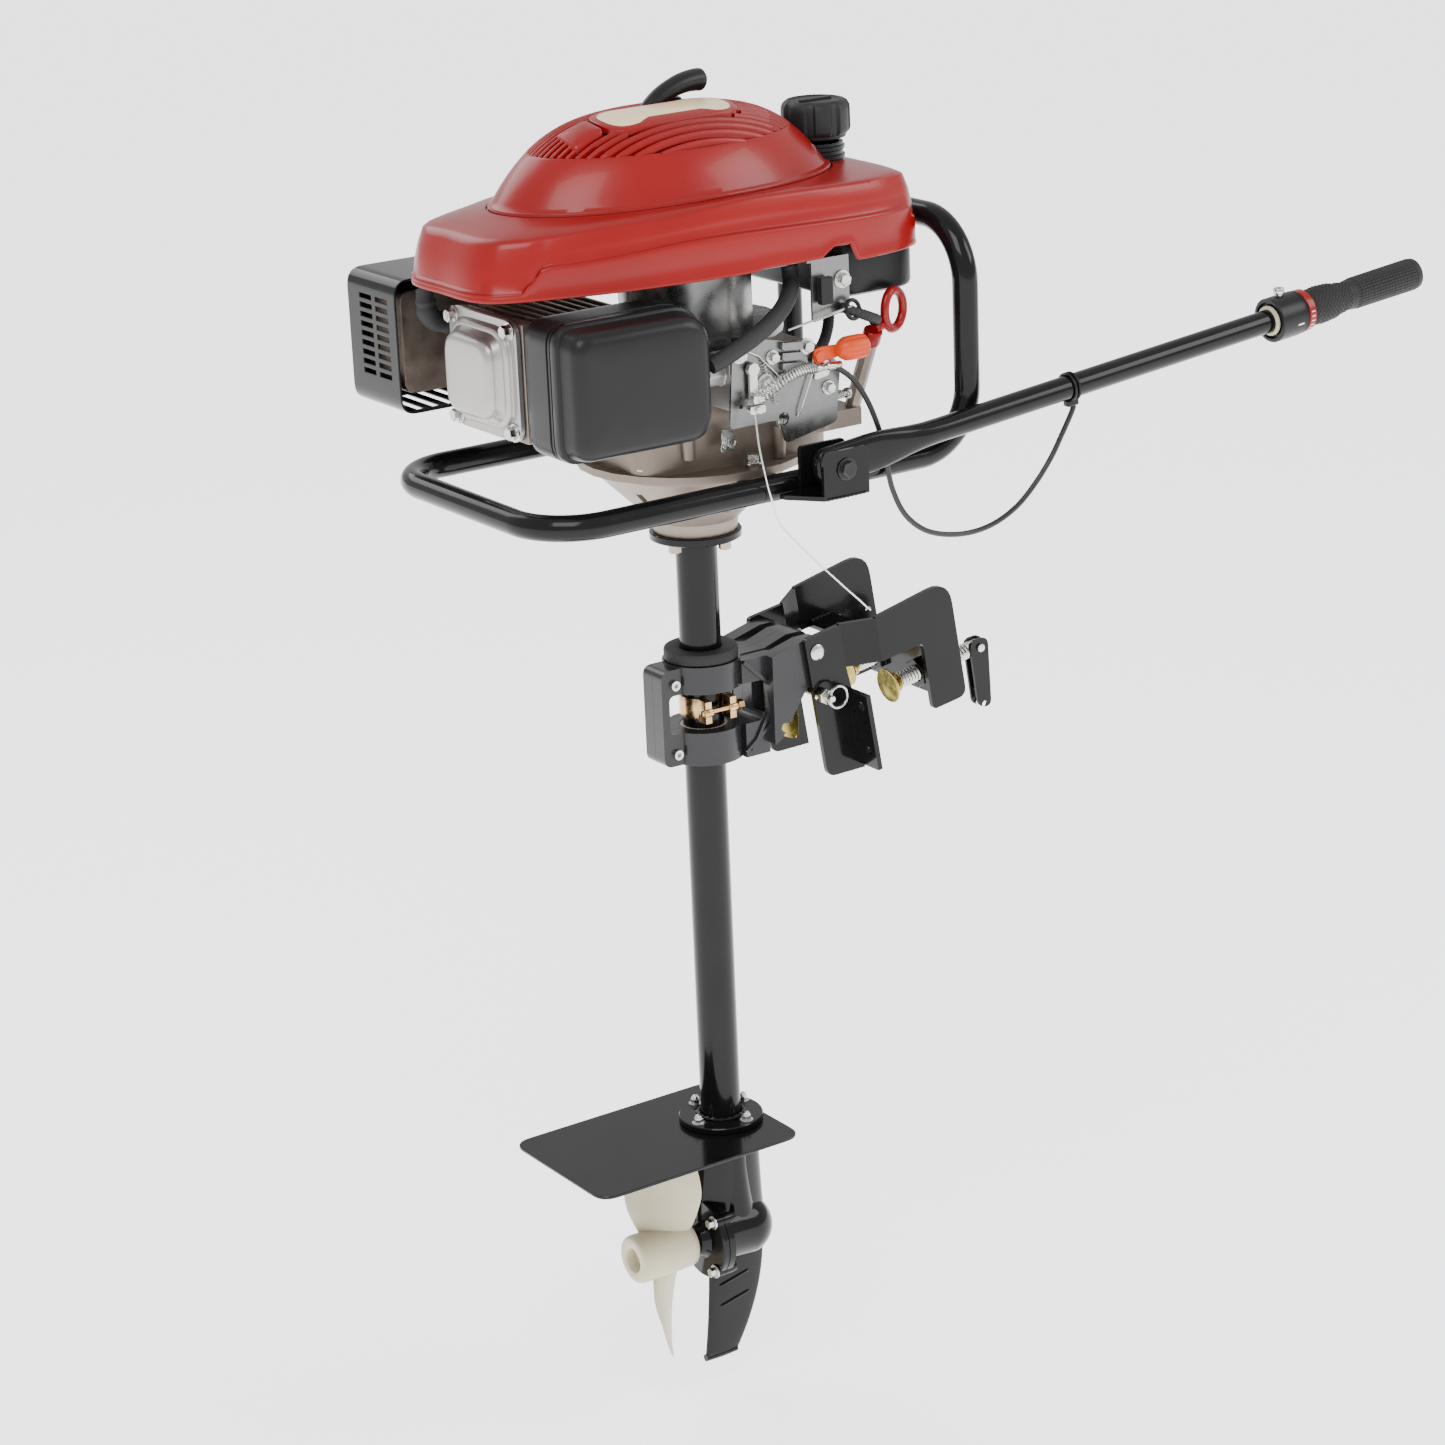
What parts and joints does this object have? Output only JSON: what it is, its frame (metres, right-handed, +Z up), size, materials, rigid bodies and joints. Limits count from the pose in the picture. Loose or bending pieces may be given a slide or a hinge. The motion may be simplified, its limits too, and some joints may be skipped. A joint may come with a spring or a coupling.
{
  "type": "trolling motor",
  "caption": "Petrol outboard trolling motor with a long straight drive leg, two-bladed propeller, folding twist-grip tiller and a clamp-on transom bracket.",
  "frame": {"origin": "middle of the underside of the strap that rests on top of the transom, under the bracket hooks", "axes": "+X forward into the boat, the way the tiller points; +Y to port; +Z up along the drive leg"},
  "size_m": [0.9701, 0.3692, 1.2303],
  "materials": {
    "black_paint": "gloss black enamel",
    "black_plastic": "moulded black plastic",
    "red_plastic": "gloss red moulding",
    "red_handle": "red moulding",
    "orange_plastic": "orange moulding",
    "cast_aluminium": "as cast",
    "black_casting": "cast, enamelled gloss black",
    "valve_aluminium": "die cast, bright",
    "bright_zinc": "bright zinc plated",
    "blower_metal": "pressed and zinc coloured",
    "yellow_zinc": "yellow chromated zinc",
    "steel": "machined",
    "exhaust_steel": "heat-tinted sheet",
    "nylon": "natural nylon",
    "rubber": "moulded rubber"
  },
  "bodies": {
    "bracket": {"bracket_plate_port": "black_paint", "bracket_plate_starboard": "black_paint", "transom_rest": "black_paint", "clamp_cross_plate": "black_paint", "tilt_pin": "bright_zinc"},
    "trim_pin": {"trim_pin": "bright_zinc"},
    "clamp_screw_starboard": {"clamp_screw_starboard": "bright_zinc"},
    "clamp_lever_starboard": {"clamp_lever_starboard": "black_paint"},
    "clamp_screw_port": {"clamp_screw_port": "bright_zinc"},
    "clamp_lever_port": {"clamp_lever_port": "black_paint"},
    "swivel": {"swivel_half_port": "black_plastic", "swivel_half_starboard": "black_plastic", "upper_bush": "nylon", "lower_bush": "nylon"},
    "latch": {"tilt_latch": "yellow_zinc"},
    "motor": {"leg_tube": "black_paint", "head_flange": "black_paint", "thrust_collar": "black_plastic", "friction_band": "yellow_zinc", "foot_flange": "black_paint", "cavitation_plate": "black_paint", "gearcase": "black_casting", "gearcase_cap": "black_casting", "bell_housing": "cast_aluminium", "crankcase": "cast_aluminium", "cylinder": "cast_aluminium", "valve_cover": "valve_aluminium", "muffler_guard": "black_paint", "muffler": "exhaust_steel", "air_filter_base": "black_plastic", "air_filter_cover": "black_plastic", "carburettor": "valve_aluminium", "control_plate": "bright_zinc", "breather_hose": "rubber", "fuel_tank": "black_plastic", "fuel_hose": "rubber", "spark_plug_boot": "rubber", "shroud": "red_plastic", "blower_housing": "blower_metal", "frame_tube": "black_paint", "tiller_bracket": "black_paint", "tiller_bolt": "black_paint", "throttle_cable": "rubber", "inner_wire": "bright_zinc"},
    "crank": {"crankshaft": "steel", "drive_shaft": "steel", "flywheel": "cast_aluminium"},
    "screw": {"propeller_shaft": "steel", "propeller": "nylon", "bevel_gear": "steel"},
    "fuel_cap": {"fuel_cap": "black_plastic"},
    "recoil_handle": {"recoil_handle": "black_plastic"},
    "dipstick": {"dipstick": "red_handle"},
    "choke_lever": {"choke_lever": "orange_plastic"},
    "stop_switch": {"stop_switch": "black_plastic"},
    "throttle_lever": {"throttle_lever": "bright_zinc"},
    "tiller": {"tiller_arm": "black_paint", "throttle_collar": "black_plastic"},
    "grip": {"throttle_ring": "red_handle", "throttle_grip": "rubber"}
  },
  "joints": [
    {"name": "trim_pin_pull", "type": "slide", "parent": "bracket", "child": "trim_pin", "axis": [0, -1, 0], "range_m": [0, 0.1]},
    {"name": "tilt", "type": "hinge", "parent": "bracket", "child": "swivel", "pos_m": [-0.074, 0, 0.0145], "axis": [0, 1, 0], "range_deg": [0, 65], "deforming": ["inner_wire"]},
    {"name": "latch_release", "type": "hinge", "parent": "swivel", "child": "latch", "pos_m": [-0.108, 0, -0.052], "axis": [0, 1, 0], "range_deg": [0, 12], "stiffness_Nm_per_rad": 0.4, "springref_deg": -17.19},
    {"name": "steering", "type": "hinge", "parent": "swivel", "child": "motor", "pos_m": [-0.17, 0, 0], "axis": [0, 0, 1], "range_deg": [-180, 180], "deforming": ["inner_wire"]},
    {"name": "crank_spin", "type": "hinge", "parent": "motor", "child": "crank", "pos_m": [-0.17, 0, 0], "axis": [0, 0, 1], "continuous": true},
    {"name": "screw_spin", "type": "hinge", "parent": "motor", "child": "screw", "pos_m": [-0.17, 0, -0.557], "axis": [1, 0, 0], "continuous": true},
    {"name": "fuel_cap_turn", "type": "hinge", "parent": "motor", "child": "fuel_cap", "pos_m": [-0.023, 0, 0.49], "axis": [0, 0, 1], "range_deg": [0, 360]},
    {"name": "recoil_pull", "type": "slide", "parent": "motor", "child": "recoil_handle", "axis": [0, 0, 1], "range_m": [0, 0.045], "stiffness_N_per_m": 60, "springref_m": -0.1},
    {"name": "dipstick_draw", "type": "slide", "parent": "motor", "child": "dipstick", "axis": [0, -0.4226, 0.9063], "range_m": [0, 0.075]},
    {"name": "choke_swing", "type": "hinge", "parent": "motor", "child": "choke_lever", "pos_m": [-0.12, -0.129, 0.312], "axis": [0, 1, 0], "range_deg": [-40, 0]},
    {"name": "stop_rocker", "type": "hinge", "parent": "motor", "child": "stop_switch", "pos_m": [-0.104, -0.1202, 0.366], "axis": [1, 0, 0], "range_deg": [0, 8]},
    {"name": "tiller_fold", "type": "hinge", "parent": "motor", "child": "tiller", "pos_m": [-0.134, -0.166, 0.225], "axis": [0, -1, 0], "range_deg": [0, 85], "deforming": ["throttle_cable"]},
    {"name": "grip_turn", "type": "hinge", "parent": "tiller", "child": "grip", "pos_m": [-0.134, -0.166, 0.225], "axis": [0.9956, 0, 0.0941], "range_deg": [0, 60]},
    {"name": "throttle_swing", "type": "hinge", "parent": "motor", "child": "throttle_lever", "pos_m": [-0.19, -0.13, 0.312], "axis": [0, 1, 0], "range_deg": [0, 30]},
    {"name": "clamp_starboard", "type": "slide", "parent": "bracket", "child": "clamp_screw_starboard", "axis": [0.9877, 0, 0.1564], "range_m": [-0.036, 0.012]},
    {"name": "clamp_lever_starboard_fold", "type": "hinge", "parent": "clamp_screw_starboard", "child": "clamp_lever_starboard", "pos_m": [0.12015, -0.034, -0.02349], "axis": [0, 1, 0], "range_deg": [-90, 0]},
    {"name": "clamp_port", "type": "slide", "parent": "bracket", "child": "clamp_screw_port", "axis": [0.9877, 0, 0.1564], "range_m": [-0.036, 0.012]},
    {"name": "clamp_lever_port_fold", "type": "hinge", "parent": "clamp_screw_port", "child": "clamp_lever_port", "pos_m": [0.12015, 0.034, -0.02349], "axis": [0, 1, 0], "range_deg": [-90, 0]}
  ],
  "couplings": [
    {"joint": "screw_spin", "follows": "crank_spin", "ratio": 0.55},
    {"joint": "throttle_swing", "follows": "grip_turn", "ratio": 0.5}
  ]
}
